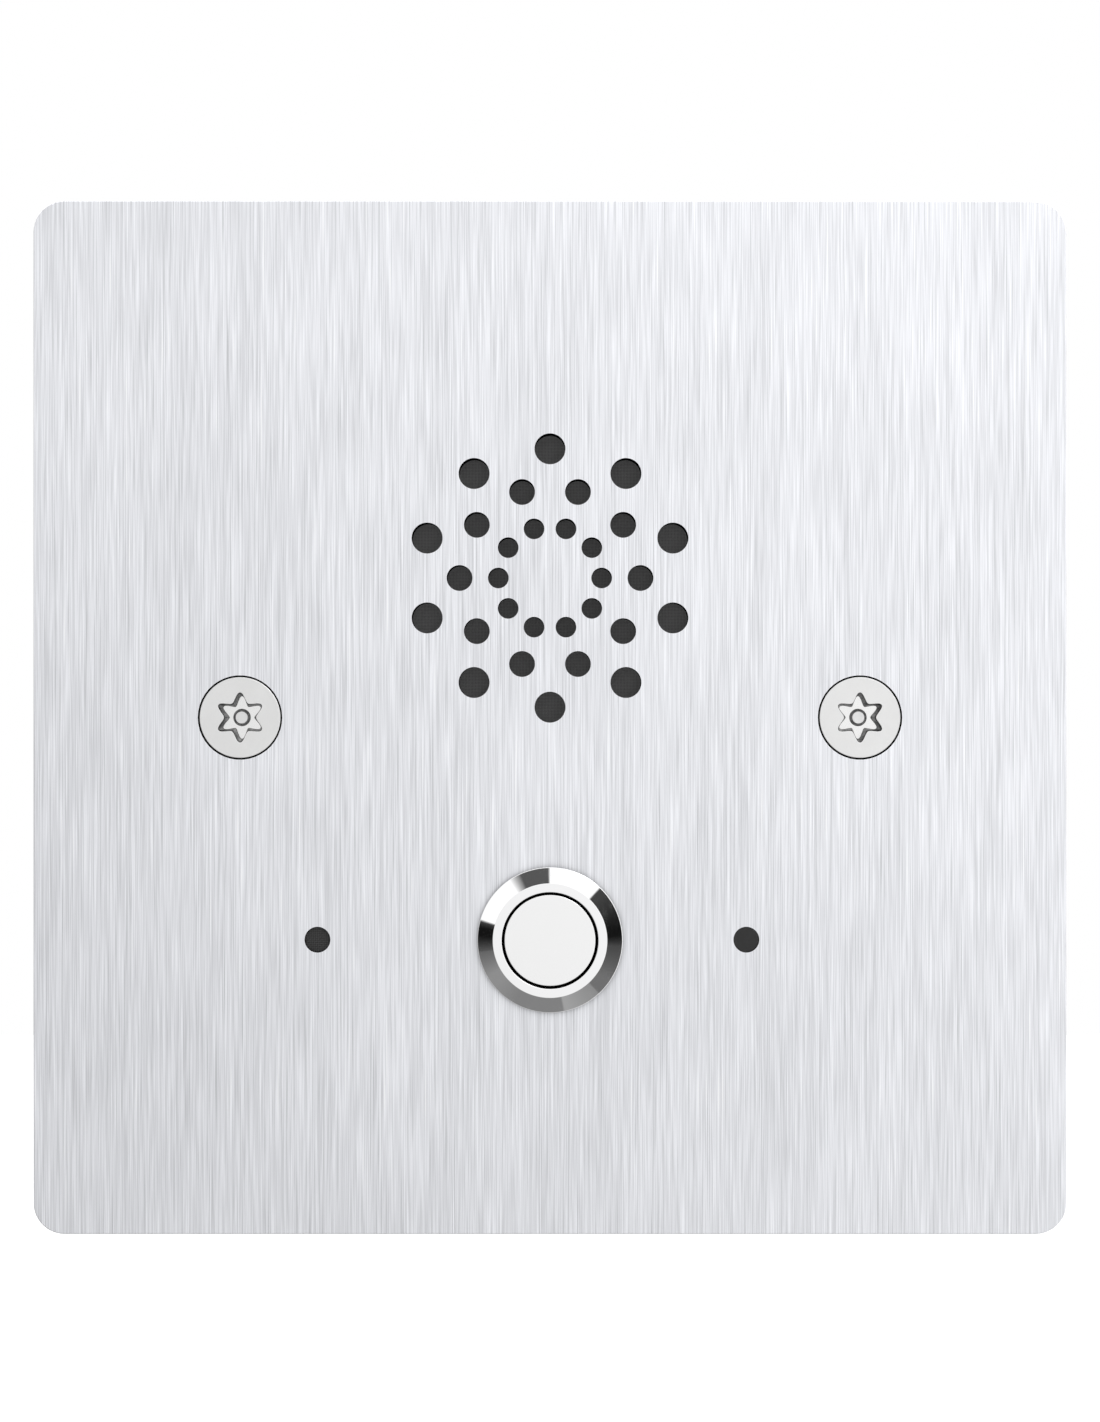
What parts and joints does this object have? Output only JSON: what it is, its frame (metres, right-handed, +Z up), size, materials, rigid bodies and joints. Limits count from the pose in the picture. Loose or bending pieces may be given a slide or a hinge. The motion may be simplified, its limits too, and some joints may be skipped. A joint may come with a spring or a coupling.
{
  "type": "emergency intercom",
  "caption": "Flush wall intercom: square brushed stainless plate with ringed speaker holes, a bevelled push-button and security screws, with open electronics on pillars behind.",
  "frame": {"origin": "on the wall, at the middle of the gasket, behind the centre of the plate", "axes": "+Z up, +X to the right as seen from the front, +Y into the wall; the plate looks along -Y"},
  "size_m": [0.1, 0.0322, 0.1],
  "materials": {
    "brushed_stainless": "vertical fine brush, satin",
    "foam": "closed-cell foam, matt",
    "screw_steel": "fine turned face",
    "dust_cloth": "fine woven cloth",
    "sheet_steel": "pressed sheet",
    "black_plastic": "fine moulded grain",
    "film": "translucent pressed film",
    "copper": "enamelled copper wire",
    "zinc_steel": "zinc plated",
    "magnet": "nickel plated magnet",
    "tag_board": "phenolic board",
    "tinned_brass": "tinned",
    "polished_steel": "mirror polished",
    "nickel_brass": "nickel plated brass",
    "actuator_steel": "fine satin face",
    "spring_steel": "drawn wire",
    "switch_plastic": "moulded thermoset",
    "mesh_black": "fine black mesh",
    "capsule_aluminium": "drawn can",
    "rubber_black": "moulded rubber",
    "clear_plastic": "clear moulded rod",
    "led_white": "moulded lamp body",
    "board_green": "solder mask over glass fibre",
    "tin_sheet": "tinned sheet",
    "jack_plastic": "moulded",
    "gold_contacts": "gold plated wire",
    "terminal_plastic": "moulded, fine grain",
    "chip_black": "moulded epoxy",
    "ferrite_grey": "pressed ferrite",
    "capacitor_sleeve": "shrunk sleeve on an aluminium can",
    "relay_plastic": "moulded case",
    "connector_white": "moulded",
    "lead_red": "soft insulation, red and black cores",
    "lead_blue": "soft insulation, blue and white cores",
    "lead_grey": "soft insulation"
  },
  "bodies": {
    "station": {"front_plate": "brushed_stainless", "wall_gasket": "foam", "fixing_screws": "screw_steel", "speaker_cloth": "dust_cloth", "speaker_foam": "foam", "speaker_tabs": "sheet_steel", "speaker_basket": "black_plastic", "speaker_diaphragm": "film", "top_plate": "zinc_steel", "speaker_magnet": "magnet", "magnet_cup": "zinc_steel", "speaker_tag": "tag_board", "speaker_lugs": "tinned_brass", "button_bezel": "polished_steel", "button_nut": "nickel_brass", "return_spring": "spring_steel", "fixed_contacts": "tinned_brass", "contact_block": "switch_plastic", "mic_screen": "mesh_black", "mic_capsule": "capsule_aluminium", "mic_boot": "rubber_black", "light_pipe": "clear_plastic", "indicator_led": "led_white", "board_pillars": "nickel_brass", "circuit_board": "board_green", "board_screws": "zinc_steel", "jack_shield": "tin_sheet", "jack_insert": "jack_plastic", "jack_contacts": "gold_contacts", "terminal_block": "terminal_plastic", "terminal_screws": "zinc_steel", "network_transformer": "chip_black", "processor": "chip_black", "audio_amplifier": "chip_black", "power_inductor": "ferrite_grey", "smoothing_capacitors": "capacitor_sleeve", "door_relay": "relay_plastic", "lead_connectors": "connector_white", "speaker_lead": "lead_red", "button_lead": "lead_blue", "mic_lead": "lead_grey"},
    "button": {"button_actuator": "actuator_steel", "stem_nut": "nickel_brass", "bridge_holder": "black_plastic", "contact_bridge": "tinned_brass"},
    "coil": {"voice_coil": "copper"}
  },
  "joints": [
    {"name": "button_press", "type": "slide", "parent": "station", "child": "button", "axis": [0, 1, 0], "range_m": [0, 0.0015], "stiffness_N_per_m": 1500, "springref_m": -0.0015, "deforming": ["return_spring"]},
    {"name": "coil_stroke", "type": "slide", "parent": "station", "child": "coil", "axis": [0, 1, 0], "range_m": [-0.0004, 0.0004], "stiffness_N_per_m": 1000, "deforming": ["speaker_diaphragm"]}
  ]
}
